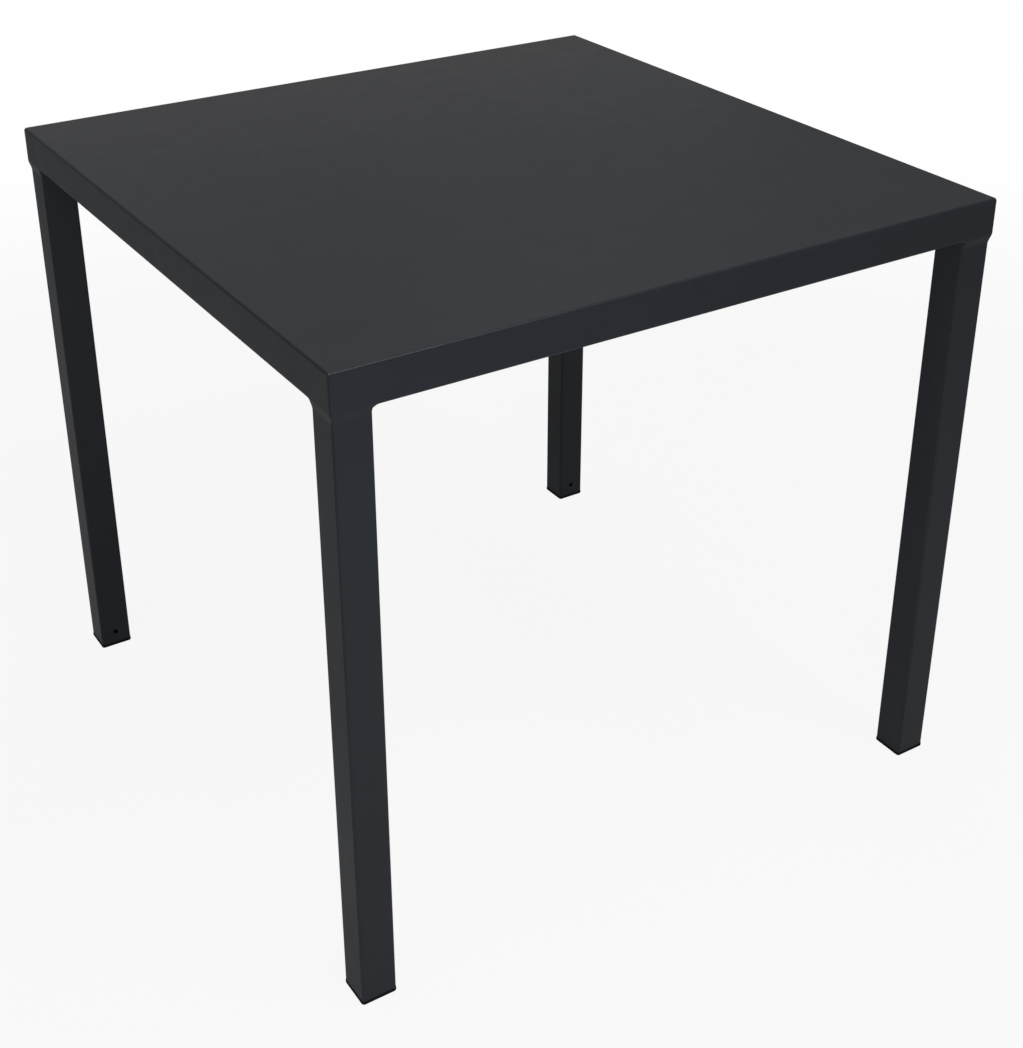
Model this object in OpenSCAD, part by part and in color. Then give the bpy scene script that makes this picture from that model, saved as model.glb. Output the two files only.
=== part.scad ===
// Square garden table. One steel sheet is folded into a shallow tray, and four square tubes stand in
// its corners as legs, welded under the top and along the foot of the skirt.
// The origin is on the floor under the centre of the top. X runs to the right along the front edge,
// Y to the back and Z up.

/* [Table] */
// Width of the top from left to right
table_width = 800; // [600:10:1200]
// Depth of the top from front to back
table_depth = 800; // [600:10:1200]
// Height of the top surface above the floor
table_height = 730; // [400:5:1100]

/* [Tray] */
// Thickness of the folded sheet
tray_sheet = 1.5; // [1:0.1:2]
// Outer radius of the bends
tray_bend = 3; // [2.5:0.1:4]
// Height of the skirt
skirt_height = 42; // [32:1:70]
// Width of the lip turned inwards at the foot of the skirt
lip_width = 18; // [12:1:28]

/* [Legs] */
// Side of the square tube
leg_size = 40; // [30:1:60]
// Wall of the tube
leg_wall = 1.5; // [1:0.1:2.5]
// Outer radius of the tube's corners
leg_radius = 3; // [2.6:0.1:5]
// Space between the skirt and the leg
leg_space = 1; // [0.6:0.1:2]
// Diameter of the drain hole
drain_diameter = 6; // [4:0.5:8]
// Height of the drain hole's centre above the floor
drain_height = 20.5; // [20:0.5:60]

/* [Welds] */
// How far the weld at the foot of the skirt runs down the leg's outer faces
skirt_weld = 5.4; // [3:0.1:7]
// Radius of the hollow fillet between the lip and the leg's inner faces
lip_weld = 6.4; // [4.5:0.1:8]
// Leg length of the flat fillet round the leg's head
head_weld = 4; // [2:0.1:8]
// Width of the stitch welds under the ribs and gussets
stitch_width = 2.5; // [1.5:0.1:4]
// Length of one stitch weld
stitch_length = 25; // [10:1:40]

/* [Stiffening ribs] */
// Distance between the centre lines of the two ribs
rib_spacing = 270; // [150:5:350]
// Height of the hat section
rib_height = 20; // [12:1:28]
// Width of the hat section's crown
rib_crown = 30; // [16:1:60]
// Width of each of its two flanges
rib_flange = 15; // [8:1:30]
// Thickness of the rib's sheet
rib_sheet = 1.2; // [0.8:0.1:2]
// Outer radius of the rib's bends
rib_bend = 2.4; // [2.2:0.1:4]
// Space between the end of a rib and the skirt
rib_end_space = 2.5; // [2.5:0.1:10]
// Stitch welds along each edge of a rib
rib_stitches = 4; // [2:1:8]

/* [Corner gussets] */
// How far a gusset reaches along the skirt from the corner
gusset_reach = 110; // [90:1:180]
// Thickness of the gusset plate
gusset_sheet = 2; // [1:0.1:4]

/* [Foot inserts] */
// Thickness of the flange under the tube
foot_flange = 4; // [2:0.1:6]
// How far the flange stands out round the tube
foot_rim = 0.5; // [0.2:0.1:1.2]
// Radius of the flange's lower edge
foot_edge = 1.2; // [0.5:0.1:1.8]
// Height of the hollow spigot inside the tube
spigot_height = 12; // [8:0.5:12.5]
// Wall of the spigot
spigot_wall = 2; // [1.2:0.1:3]
// How far the fins stand out from the spigot
fin_reach = 1.8; // [1:0.1:3]
// Thickness of one fin
fin_sheet = 1; // [0.6:0.1:1.6]
// Number of fins up the spigot
fin_count = 3; // [2:1:4]
// Thickness of the cross wall inside the spigot
cross_wall = 1.5; // [1:0.1:3]

/* [Hidden] */
$fn = 64;
paint = "#383E42";
plastic = "#161718";

// How far a cut runs past the faces it cuts
overrun = 1;
// Space left round a leg where the lip is cut back for it
notch_space = 0.3;
// Space between a leg's head and the top, bridged by its weld
head_space = 0.3;
// Space between a gusset and the leg it stands behind
gusset_space = 0.3;
// Space between a fin's tip and the wall of the tube
fin_space = 0.2;

// Heights above the floor
skirt_foot = table_height - skirt_height;
underside = table_height - tray_sheet;
lip_top = skirt_foot + tray_sheet;
leg_top = underside - head_space;

// Distances in from the tray's outer faces, to a leg's outer faces, corner centres and inner faces
leg_inset = tray_sheet + leg_space;
leg_core = leg_inset + leg_radius;
leg_end = leg_inset + leg_size;

// Inside of the tube
bore_side = leg_size - 2 * leg_wall;
bore_radius = leg_radius - leg_wall;

// The face of the skirt weld starts on the leg, skirt_weld under the skirt, and runs up until it
// just touches the skirt's lower bend. Points are [distance in from the outer face, height].
weld_foot = [leg_inset, -skirt_weld];
weld_to_bend = [tray_bend, tray_bend] - weld_foot;
weld_turn = atan2(weld_to_bend.y, weld_to_bend.x) + asin(tray_bend / norm(weld_to_bend));
weld_run = sqrt(pow(norm(weld_to_bend), 2) - pow(tray_bend, 2));
weld_touch = weld_foot + weld_run * [cos(weld_turn), sin(weld_turn)];

// Ribs run from front to back
rib_length = table_depth - 2 * (tray_sheet + rib_end_space);
rib_half_width = rib_crown / 2 + rib_flange;

// Foot inserts
flange_side = leg_size + 2 * foot_rim;
flange_radius = leg_radius + foot_rim;
flange_core = flange_side - 2 * flange_radius;
fin_side = bore_side - 2 * fin_space;
fin_radius = bore_radius;
spigot_side = fin_side - 2 * fin_reach;
spigot_radius = min(leg_radius, spigot_wall);
spigot_hollow = spigot_side - 2 * spigot_wall;
fin_pitch = spigot_height / fin_count;

// Each corner's name, and the side of the table it is on along X and Y
CORNERS = [
    ["front_left", -1, -1],
    ["front_right", 1, -1],
    ["back_left", -1, 1],
    ["back_right", 1, 1],
];
// Each rib's name, and the side of the centre line it is on
RIBS = [["left", -1], ["right", 1]];
CORNER_PIECES = ["corner_seam", "leg", "leg_weld", "corner_gusset", "foot_insert"];

// Moves a piece drawn with the tray's outer corner at its origin into one of the four corners
module at_corner(corner) {
    mirror([max(corner[1], 0), 0, 0])
        mirror([0, max(corner[2], 0), 0])
            translate([-table_width / 2, -table_depth / 2, 0])
                children();
}

// Draws a piece twice, once with X and Y exchanged
module both_ways() {
    for (flip = [0, 1])
        mirror([flip, -flip, 0])
            children();
}

// Turns a section drawn in X and Z into a run of the given length along Y
module run_along_y(length) {
    translate([0, length, 0])
        rotate([90, 0, 0])
            linear_extrude(height = length)
                children();
}

// Square with rounded corners, its lower left corner at the origin
module soft_square(side, radius) {
    translate([radius, 0])
        square([side - 2 * radius, side]);
    translate([0, radius])
        square([side, side - 2 * radius]);
    for (x = [radius, side - radius], y = [radius, side - radius])
        translate([x, y])
            circle(radius);
}

// The same square round the origin
module soft_square_centred(side, radius) {
    translate([-side / 2, -side / 2])
        soft_square(side, radius);
}

// Quarter ring of bent sheet, in the lower left quarter round the origin
module bend(radius, sheet) {
    intersection() {
        difference() {
            circle(radius);
            circle(radius - sheet);
        }
        translate([-radius, -radius])
            square(radius);
    }
}

// Section of the skirt with both its bends. X = 0 is the bends' centre line and Y runs up from the foot.
module skirt_section() {
    translate([0, skirt_height - tray_bend])
        rotate(-90)
            bend(tray_bend, tray_sheet);
    translate([-tray_bend, tray_bend])
        square([tray_sheet, skirt_height - 2 * tray_bend]);
    translate([0, tray_bend])
        bend(tray_bend, tray_sheet);
}

// The skirt's section with its lip, in from the outer face
module lipped_section() {
    translate([tray_bend, 0]) {
        skirt_section();
        square([lip_width - tray_bend, tray_sheet]);
    }
}

// Runs a section along each side of the table between the corner seams
module along_sides() {
    for (side = [0:3]) {
        run = side % 2 == 0 ? table_depth : table_width;
        across = side % 2 == 0 ? table_width : table_depth;
        rotate(90 * side)
            translate([-across / 2, tray_bend - run / 2, 0])
                run_along_y(run - 2 * tray_bend)
                    children();
    }
}

// Outline of a leg in its corner, grown by a space
module leg_outline(space) {
    translate([leg_inset - space, leg_inset - space])
        soft_square(leg_size + 2 * space, leg_radius + space);
}

// Cuts the lip and the lower bend back for a leg
module leg_notch() {
    translate([0, 0, -overrun])
        linear_extrude(height = tray_bend + overrun)
            leg_outline(notch_space);
}

// The top: flat sheet, four folded skirts and their lips
module tabletop_tray() {
    color(paint)
        translate([0, 0, skirt_foot])
            difference() {
                union() {
                    translate([tray_bend - table_width / 2, tray_bend - table_depth / 2,
                               skirt_height - tray_sheet])
                        cube([table_width - 2 * tray_bend, table_depth - 2 * tray_bend, tray_sheet]);
                    along_sides()
                        lipped_section();
                }
                for (corner = CORNERS)
                    at_corner(corner)
                        leg_notch();
            }
}

// The weld that closes the skirt at a corner, ground to the radius of the bends
module corner_seam(corner) {
    color(paint)
        at_corner(corner)
            translate([0, 0, skirt_foot])
                difference() {
                    translate([tray_bend, tray_bend, 0])
                        rotate(180)
                            rotate_extrude(angle = 90)
                                mirror([1, 0])
                                    skirt_section();
                    leg_notch();
                }
}

// Square tube, drained through a hole in the face that looks along Y into the table
module leg(corner) {
    color(paint)
        at_corner(corner)
            difference() {
                translate([0, 0, foot_flange])
                    linear_extrude(height = leg_top - foot_flange)
                        difference() {
                            leg_outline(0);
                            translate([leg_inset + leg_wall, leg_inset + leg_wall])
                                soft_square(bore_side, bore_radius);
                        }
                translate([leg_inset + leg_size / 2, leg_end + overrun, drain_height])
                    rotate([90, 0, 0])
                        cylinder(h = leg_wall + 2 * overrun, d = drain_diameter);
            }
}

// Section of the skirt weld, back to the centre of the leg's corner
module skirt_weld_section() {
    polygon([
        weld_foot,
        weld_touch,
        [leg_core, weld_touch.y],
        [leg_core, weld_foot.y],
    ]);
}

// The rounded foot of the skirt at a corner as a full solid, for the weld to lie against
module skirt_foot_body(length) {
    translate([tray_bend, tray_bend, tray_bend]) {
        sphere(tray_bend);
        rotate([0, 90, 0])
            cylinder(h = length, r = tray_bend);
        rotate([-90, 0, 0])
            cylinder(h = length, r = tray_bend);
    }
    translate([tray_bend, tray_bend, 0])
        cube([length, length, tray_bend]);
}

// Weld round a leg at the foot of the skirt: a sloped face outside and hollow fillets under the lips
module skirt_weld_ring() {
    weld_end = leg_end + lip_weld;
    difference() {
        union() {
            both_ways() {
                translate([0, leg_core, 0])
                    run_along_y(weld_end - leg_core)
                        skirt_weld_section();
                translate([leg_inset, leg_end - leg_radius, -lip_weld])
                    cube([lip_width - leg_inset, leg_radius + lip_weld, lip_weld]);
            }
            translate([leg_core, leg_core, 0])
                rotate(180)
                    rotate_extrude(angle = 90)
                        translate([leg_core, 0])
                            mirror([1, 0])
                                skirt_weld_section();
        }
        skirt_foot_body(weld_end);
        translate([0, 0, -lip_weld - overrun])
            linear_extrude(height = lip_weld + tray_bend + overrun)
                leg_outline(0);
        both_ways()
            translate([-overrun, weld_end, -lip_weld])
                rotate([0, 90, 0])
                    cylinder(h = lip_width + 2 * overrun, r = lip_weld);
    }
}

// Flat fillet between the underside of the top and a leg's two inner faces
module head_weld_fillet() {
    fillet = [[0, 0], [head_weld, 0], [0, -head_weld]];
    both_ways()
        translate([leg_end, leg_core, 0])
            run_along_y(leg_size - 2 * leg_radius)
                polygon(fillet);
    translate([leg_end - leg_radius, leg_end - leg_radius, 0])
        rotate_extrude(angle = 90)
            translate([leg_radius, 0])
                polygon(fillet);
}

// All the weld metal that holds one leg
module leg_weld(corner) {
    color(paint)
        at_corner(corner) {
            translate([0, 0, skirt_foot])
                skirt_weld_ring();
            translate([0, 0, underside])
                head_weld_fillet();
        }
}

// Plate that lies on both lips behind a leg
module corner_gusset(corner) {
    near = leg_end + gusset_space;
    color(paint)
        at_corner(corner)
            translate([0, 0, lip_top])
                linear_extrude(height = gusset_sheet)
                    polygon([
                        [near, tray_bend],
                        [gusset_reach, tray_bend],
                        [gusset_reach, lip_width],
                        [lip_width, gusset_reach],
                        [tray_bend, gusset_reach],
                        [tray_bend, near],
                        [near, near],
                    ]);
}

// One stitch under each edge of a gusset, against the lip's inner edge
module gusset_stitch_welds() {
    bead = [[0, 0], [0, tray_sheet], [stitch_width, tray_sheet]];
    middle = (leg_end + gusset_reach) / 2;
    color(paint)
        for (corner = CORNERS)
            at_corner(corner)
                both_ways()
                    translate([lip_width, middle - stitch_length / 2, skirt_foot])
                        run_along_y(stitch_length)
                            polygon(bead);
}

// Right half of the hat section, hanging from Y = 0
module rib_half_section() {
    web = rib_crown / 2;
    translate([0, -rib_height])
        square([web - rib_bend, rib_sheet]);
    translate([web - rib_bend, rib_bend - rib_height])
        rotate(90)
            bend(rib_bend, rib_sheet);
    translate([web - rib_sheet, rib_bend - rib_height])
        square([rib_sheet, rib_height - 2 * rib_bend]);
    translate([web - rib_sheet + rib_bend, -rib_bend])
        rotate(-90)
            bend(rib_bend, rib_sheet);
    translate([web - rib_sheet + rib_bend, -rib_sheet])
        square([rib_flange + rib_sheet - rib_bend, rib_sheet]);
}

// Places a piece drawn along a rib's centre line, from its front end
module at_rib(rib) {
    translate([rib[1] * rib_spacing / 2, -rib_length / 2, underside])
        children();
}

// Hat section of folded sheet under the top
module stiffening_rib(rib) {
    color(paint)
        at_rib(rib)
            run_along_y(rib_length) {
                rib_half_section();
                mirror([1, 0])
                    rib_half_section();
            }
}

// Stitch welds along both edges of both ribs
module rib_stitch_welds() {
    bead = [[0, 0], [stitch_width, 0], [0, -rib_sheet]];
    pitch = rib_length / rib_stitches;
    color(paint)
        for (rib = RIBS, edge = [0, 1], stitch = [0 : rib_stitches - 1])
            at_rib(rib)
                mirror([edge, 0, 0])
                    translate([rib_half_width, pitch * (stitch + 1 / 2) - stitch_length / 2, 0])
                        run_along_y(stitch_length)
                            polygon(bead);
}

// Section of the foot's flange, out from the centre of its corner
module flange_section() {
    square([flange_radius - foot_edge, foot_flange]);
    translate([0, foot_edge])
        square([flange_radius, foot_flange - foot_edge]);
    translate([flange_radius - foot_edge, foot_edge])
        circle(foot_edge);
}

// Flange with a rounded lower edge
module foot_flange_plate() {
    for (side = [0:3])
        rotate(90 * side)
            translate([flange_core / 2, -flange_core / 2, 0]) {
                run_along_y(flange_core)
                    flange_section();
                translate([0, flange_core, 0])
                    rotate_extrude(angle = 90)
                        flange_section();
            }
    translate([-flange_core / 2, -flange_core / 2, 0])
        cube([flange_core, flange_core, foot_flange]);
}

// Hollow spigot with fins that grip the tube
module foot_spigot() {
    difference() {
        union() {
            linear_extrude(height = spigot_height)
                soft_square_centred(spigot_side, spigot_radius);
            for (fin = [0 : fin_count - 1])
                translate([0, 0, fin_pitch * (fin + 1 / 2)])
                    linear_extrude(height = fin_sheet)
                        soft_square_centred(fin_side, fin_radius);
        }
        translate([-spigot_hollow / 2, -spigot_hollow / 2, 0])
            cube([spigot_hollow, spigot_hollow, spigot_height + overrun]);
    }
    for (turn = [0, 90])
        rotate(turn)
            translate([-spigot_hollow / 2, -cross_wall / 2, 0])
                cube([spigot_hollow, cross_wall, spigot_height - cross_wall]);
}

// Plastic foot pushed into the end of a leg
module foot_insert(corner) {
    color(plastic)
        at_corner(corner)
            translate([leg_inset + leg_size / 2, leg_inset + leg_size / 2, 0]) {
                foot_flange_plate();
                translate([0, 0, foot_flange])
                    foot_spigot();
            }
}

tabletop_tray();
rib_stitch_welds();
gusset_stitch_welds();
for (rib = RIBS) {
    stiffening_rib(rib);
}
for (corner = CORNERS) {
    corner_seam(corner);
    leg(corner);
    leg_weld(corner);
    corner_gusset(corner);
    foot_insert(corner);
}
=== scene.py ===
"""Square garden table of folded sheet steel: its visible pieces, their finish and a plain studio."""

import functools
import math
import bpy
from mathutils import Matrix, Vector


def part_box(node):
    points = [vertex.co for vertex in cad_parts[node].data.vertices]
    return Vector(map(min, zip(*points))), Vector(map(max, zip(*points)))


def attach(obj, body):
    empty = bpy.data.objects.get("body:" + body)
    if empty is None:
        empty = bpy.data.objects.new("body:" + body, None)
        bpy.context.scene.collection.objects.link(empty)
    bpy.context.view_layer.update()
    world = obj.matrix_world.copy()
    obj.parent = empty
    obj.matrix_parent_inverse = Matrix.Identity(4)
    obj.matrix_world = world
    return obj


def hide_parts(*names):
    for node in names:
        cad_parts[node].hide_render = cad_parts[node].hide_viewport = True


bl_info = {
    "name": "Square garden table",
    "version": (1, 0, 0),
    "blender": (4, 5, 0),
    "location": "3D View > Sidebar > Garden table",
    "description": "Builds a welded sheet-steel garden table, its powder coat and a plain studio",
    "category": "Add Mesh",
}

import bmesh
import bpy
from bpy.props import FloatProperty, FloatVectorProperty, IntProperty, PointerProperty
from mathutils import Euler, Matrix, Vector, noise

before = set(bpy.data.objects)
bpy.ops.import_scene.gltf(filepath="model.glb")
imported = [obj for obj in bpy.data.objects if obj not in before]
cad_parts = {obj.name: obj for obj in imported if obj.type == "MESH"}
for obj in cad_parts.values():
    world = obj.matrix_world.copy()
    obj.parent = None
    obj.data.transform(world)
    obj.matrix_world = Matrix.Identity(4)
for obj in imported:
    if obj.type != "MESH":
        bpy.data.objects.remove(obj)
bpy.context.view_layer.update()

MM = 0.001
LOOP = 0.8 * MM  # width of the narrow faces beside a bend, which keep the flats flat in shading
BEND_STEPS = 10  # faces round a quarter bend of the top and its welds
TUBE_STEPS = 8  # faces round a corner of a tube or a foot
RIB_STITCH_SEED, GUSSET_STITCH_SEED = 11, 12
MIX_FACTOR, MIX_FIRST, MIX_SECOND, MIX_COLOUR = 0, 6, 7, 2  # a Mix node's sockets when it mixes colours
CORNERS = {"front_left": (-1, -1), "front_right": (1, -1), "back_left": (-1, 1), "back_right": (1, 1)}
TRAY_LOW, TRAY_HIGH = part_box("tabletop_tray")
LEG_LOW, LEG_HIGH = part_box("leg_front_left")
FOOT_LOW, FOOT_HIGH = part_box("foot_insert_front_left")
GUSSET_LOW, GUSSET_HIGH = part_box("corner_gusset_front_left")
RIB_LOW, RIB_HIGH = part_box("stiffening_rib_right")


# Settings -------------------------------------------------------------------------------------


def length(name, description, default):
    """A length in metres, shown in the scene's own unit."""
    return FloatProperty(name=name, description=description, default=default, min=0.0, precision=5, unit="LENGTH")


def share(name, description, default):
    """A plain number from 0 to 1."""
    return FloatProperty(name=name, description=description, default=default, min=0.0, max=1.0, subtype="FACTOR")


def camera_angle(name, description, degrees):
    """An angle, shown in degrees."""
    return FloatProperty(name=name, description=description, default=math.radians(degrees), subtype="ANGLE")


def power(name, description, default):
    """The power of a lamp in watts."""
    return FloatProperty(name=name, description=description, default=default, min=0.0, unit="POWER")


def colour(name, description, default):
    """A linear colour without alpha."""
    return FloatVectorProperty(
        name=name, description=description, default=default, size=3, min=0.0, max=1.0, subtype="COLOR"
    )


class TraySizes(bpy.types.PropertyGroup):
    """Sizes of the folded top."""

    width: length("Width", "Size of the top from left to right", TRAY_HIGH.x - TRAY_LOW.x)
    depth: length("Depth", "Size of the top from front to back", TRAY_HIGH.y - TRAY_LOW.y)
    height: length("Height", "Height of the top surface above the floor", TRAY_HIGH.z)
    skirt: length("Skirt", "Height of the folded skirt", TRAY_HIGH.z - TRAY_LOW.z)
    sheet: length("Sheet", "Thickness of the folded sheet", 1.5 * MM)
    bend: length("Bend radius", "Outer radius of the bends", 3 * MM)
    lip: length("Lip", "Width of the lip turned in at the foot of the skirt", 18 * MM)
    lip_gap: length("Lip gap", "Space between a cut-back lip and the leg", 0.3 * MM)
    cut_back: length("Cut back", "How far in the lower bend still runs where it is cut back for a leg", 2.2 * MM)
    bow: length("Bow", "How far the sheet dips between its edges and ribs", 0.35 * MM)
    dressing: length("Dressing", "How unevenly the corner seams are ground", 0.12 * MM)
    blunt: length("Blunted corners", "How far the top's four corner points are ground back", 0.4 * MM)
    mesh_step: length("Mesh step", "Width of one cell of the top's mesh", 16 * MM)


class LegSizes(bpy.types.PropertyGroup):
    """Sizes of the square tube legs."""

    side: length("Side", "Side of the square tube", LEG_HIGH.x - LEG_LOW.x)
    inset: length("Inset", "Distance from the skirt's outer face to the leg", LEG_LOW.x - TRAY_LOW.x)
    wall: length("Wall", "Wall of the tube", 1.5 * MM)
    radius: length("Corner radius", "Outer radius of the tube's corners", 3 * MM)
    drain_diameter: length("Drain hole", "Diameter of the drain hole", 6 * MM)
    drain_height: length("Drain height", "Height of the drain hole's centre", 20.5 * MM)


class WeldSizes(bpy.types.PropertyGroup):
    """Sizes of the weld beads."""

    skirt: length("Skirt weld", "How far the ground weld runs down the leg's outer faces", 10 * MM)
    lip: length("Lip weld", "Radius of the hollow fillet under the lips", 6.4 * MM)
    run_out: length("Run-out", "How far the ground weld goes on past the fillet", 2 * MM)
    crown: length("Crown", "How far the ground weld bulges", 0.06 * MM)
    head: length("Head weld", "Radius of the bead round the leg's head", 2.5 * MM)
    stitch: length("Stitch weld", "Radius of the stitch beads", 1.4 * MM)
    stitch_length: length("Stitch length", "Length of one stitch bead", 25 * MM)
    ripple: length("Ripple", "Distance from one ripple of a bead to the next", 1.3 * MM)
    stitches: IntProperty(name="Stitches", description="Stitch beads along each edge of a rib", default=4, min=1)


class RibSizes(bpy.types.PropertyGroup):
    """Sizes of the stiffening ribs."""

    spacing: length("Spacing", "Distance between the two ribs", RIB_LOW.x + RIB_HIGH.x)
    length: length("Length", "Length of a rib", RIB_HIGH.y - RIB_LOW.y)
    width: length("Width", "Width of the hat section with its flanges", RIB_HIGH.x - RIB_LOW.x)
    height: length("Height", "Height of the hat section", RIB_HIGH.z - RIB_LOW.z)
    crown: length("Crown", "Width of the hat section's crown", 30 * MM)
    sheet: length("Sheet", "Thickness of the rib's sheet", 1.2 * MM)
    bend: length("Bend radius", "Outer radius of the rib's bends", 2.4 * MM)
    count: IntProperty(name="Ribs", description="Number of ribs", default=2, min=1)


class FootSizes(bpy.types.PropertyGroup):
    """Sizes of the plastic foot inserts."""

    side: length("Flange", "Side of the square flange", FOOT_HIGH.x - FOOT_LOW.x)
    flange: length("Flange height", "Thickness of the flange under the tube", LEG_LOW.z)
    height: length("Height", "Height of the whole insert", FOOT_HIGH.z)
    edge: length("Edge radius", "Radius of the flange's lower edge", 1.2 * MM)
    spigot: length("Spigot", "Side of the spigot inside the tube", 33 * MM)
    spigot_wall: length("Spigot wall", "Wall of the spigot", 2 * MM)
    cross_wall: length("Cross wall", "Thickness of the cross in the spigot, which ends as far under its rim", 1.5 * MM)
    fin: length("Fins", "Side of the gripping fins", 36.6 * MM)
    fins: IntProperty(name="Fin rows", description="Number of fins up the spigot", default=3, min=1)


class Finish(bpy.types.PropertyGroup):
    """Colours and textures of the powder coat and the plastic."""

    coat: colour("Powder coat", "Colour of the powder coat", (0.0257, 0.0306, 0.0381))
    coat_shade: colour("Darker coat", "Colour of its darker patches", (0.0233, 0.0278, 0.0348))
    coat_roughness: share("Coat roughness", "Mean roughness of the powder coat", 0.34)
    peel_size: length("Orange peel", "Width of one cell of the orange peel", 1.6 * MM)
    peel_depth: length("Peel depth", "Depth of the orange peel", 0.03 * MM)
    mottling_size: length("Mottling", "Width of the coat's faint patches", 90 * MM)
    dust: colour("Dust", "Colour of the faint dust on faces that look up", (0.20, 0.19, 0.175))
    dust_amount: share("Dust amount", "Most that the dust covers", 0.012)
    plastic: colour("Foot plastic", "Colour of the moulded feet", (0.006, 0.006, 0.0066))
    plastic_roughness: share("Plastic roughness", "Mean roughness of the moulded feet", 0.7)


class Studio(bpy.types.PropertyGroup):
    """Camera, lamps and floor."""

    eye: FloatVectorProperty(
        name="Camera place", description="Where the camera stands", default=(-0.9616, -1.5688, 1.3568), unit="LENGTH"
    )
    azimuth: camera_angle("Camera azimuth", "Turn of the view about Z from +Y", -32.51)
    pitch: camera_angle("Camera pitch", "How far the camera looks down", 26.66)
    lens: FloatProperty(name="Lens", description="Focal length", default=58.394, min=1.0, unit="CAMERA")
    shift: FloatProperty(name="Shift", description="Vertical lens shift", default=-0.1231)
    ambient: share("Ambient light", "Strength of the even light from all round", 0.15)
    reflected: share("Reflected background", "How much of the white background the satin coat mirrors", 0.06)
    front: power("Front light", "Power of the high lamp at the front right", 17.0)
    left: power("Left light", "Power of the high lamp at the left", 11.3)
    over: power("Overhead light", "Power of the wide lamp above", 4.5)
    back: power("Back light", "Power of the high lamp behind", 3.0)
    side: power("Side light", "Power of the high lamp at the back right", 4.0)
    low: power("Low light", "Power of the low lamp in front", 3.7)
    near: power("Near light", "Power of the small lamp before the near corner", 1.6)
    strip: power("Strip light", "Power of the wide low lamp behind", 2.6)
    strip_colour: colour("Strip colour", "Colour of the strip behind, a little warm", (1.0, 0.93, 0.85))
    floor: colour("Floor", "Colour of the floor that lights the table", (0.62, 0.62, 0.62))
    floor_seen: colour("Floor seen", "Colour of the floor in the picture", (0.9, 0.9, 0.9))
    floor_white: share("Floor white", "How much the floor in the picture is plain white, without its shadow", 0.9)


class TableSettings(bpy.types.PropertyGroup):
    """Everything that can be set."""

    tray: PointerProperty(type=TraySizes)
    leg: PointerProperty(type=LegSizes)
    weld: PointerProperty(type=WeldSizes)
    rib: PointerProperty(type=RibSizes)
    foot: PointerProperty(type=FootSizes)
    finish: PointerProperty(type=Finish)
    studio: PointerProperty(type=Studio)


# Node trees -----------------------------------------------------------------------------------


def add_node(tree, kind, inputs=None, **settings):
    """Adds a node, sets its options and links or sets its inputs."""
    node = tree.nodes.new(kind)
    node.location = (200 * len(tree.nodes), 0)
    for key, value in settings.items():
        setattr(node, key, value)
    for key, value in (inputs or {}).items():
        socket = node.inputs[key]
        if isinstance(value, bpy.types.NodeSocket):
            tree.links.new(value, socket)
        else:
            socket.default_value = value
    return node


def calc(tree, operation, *values):
    """A Math node's result."""
    return add_node(tree, "ShaderNodeMath", dict(enumerate(values)), operation=operation).outputs[0]


def built_once(store, name):
    """Makes a function find the tree or material of that name, and build it only when it isn't there yet."""

    def wrap(build):
        @functools.wraps(build)
        def find(*args):
            return getattr(bpy.data, store).get(name) or build(name, *args)

        return find

    return wrap


def new_group(name, kind, inputs, outputs):
    """A node group whose sockets are given as name: (type, default).

    Returns the tree, what its input node gives and what its output node takes.
    """
    tree = bpy.data.node_groups.new(name, kind)
    for side, sockets in (("INPUT", inputs), ("OUTPUT", outputs)):
        for label, (value_type, default) in sockets.items():
            socket = tree.interface.new_socket(label, in_out=side, socket_type=f"NodeSocket{value_type}")
            if default is not None:
                socket.default_value = default
    return tree, add_node(tree, "NodeGroupInput").outputs, add_node(tree, "NodeGroupOutput").inputs


def placed_group(tree, group, place, inputs):
    """What a shader node group, placed in a material, gives at the material's coordinates."""
    return add_node(tree, "ShaderNodeGroup", {"Coordinates": place, **inputs}, node_tree=group).outputs[0]


def varied(tree, factor, mean, spread):
    """A value that varies by a factor round its mean."""
    return calc(tree, "MULTIPLY_ADD", factor, spread, mean - spread / 2)


def map_range(tree, value, low, high, **settings):
    """A value mapped from low..high to 0..1."""
    inputs = {"Value": value, "From Min": low, "From Max": high}
    return add_node(tree, "ShaderNodeMapRange", inputs, **settings).outputs[0]


def noise_value(tree, coordinates, size, detail, roughness):
    """Noise with cells of the given size."""
    inputs = {"Vector": coordinates, "Scale": calc(tree, "DIVIDE", 1.0, size), "Detail": detail, "Roughness": roughness}
    return add_node(tree, "ShaderNodeTexNoise", inputs).outputs["Fac"]


def end_tree(tree, made, given, result):
    """Ends a geometry node tree: its instances made real, and the material put on."""
    real = add_node(tree, "GeometryNodeRealizeInstances", {0: made.outputs[0]}).outputs[0]
    painted = add_node(tree, "GeometryNodeSetMaterial", {"Geometry": real, "Material": given["Material"]})
    tree.links.new(painted.outputs[0], result["Geometry"])


@built_once("node_groups", "surface_texture")
def surface_texture_group(name):
    """Fine unevenness of a sprayed or moulded surface, as a normal."""
    sockets = {
        "Coordinates": ("Vector", None),
        "Cell size": ("Float", 0.0015),
        "Depth": ("Float", 0.00002),
        "Ripple size": ("Float", 0.012),
        "Ripple depth": ("Float", 0.00001),
    }
    tree, given, result = new_group(name, "ShaderNodeTree", sockets, {"Normal": ("Vector", None)})
    normal = None
    for size, depth in (("Ripple size", "Ripple depth"), ("Cell size", "Depth")):
        cells = noise_value(tree, given["Coordinates"], given[size], detail=1.5, roughness=0.45)
        inputs = {"Height": cells, "Distance": given[depth], "Strength": 1.0}
        if normal:
            inputs["Normal"] = normal
        normal = add_node(tree, "ShaderNodeBump", inputs).outputs["Normal"]
    tree.links.new(normal, result["Normal"])
    return tree


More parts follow.
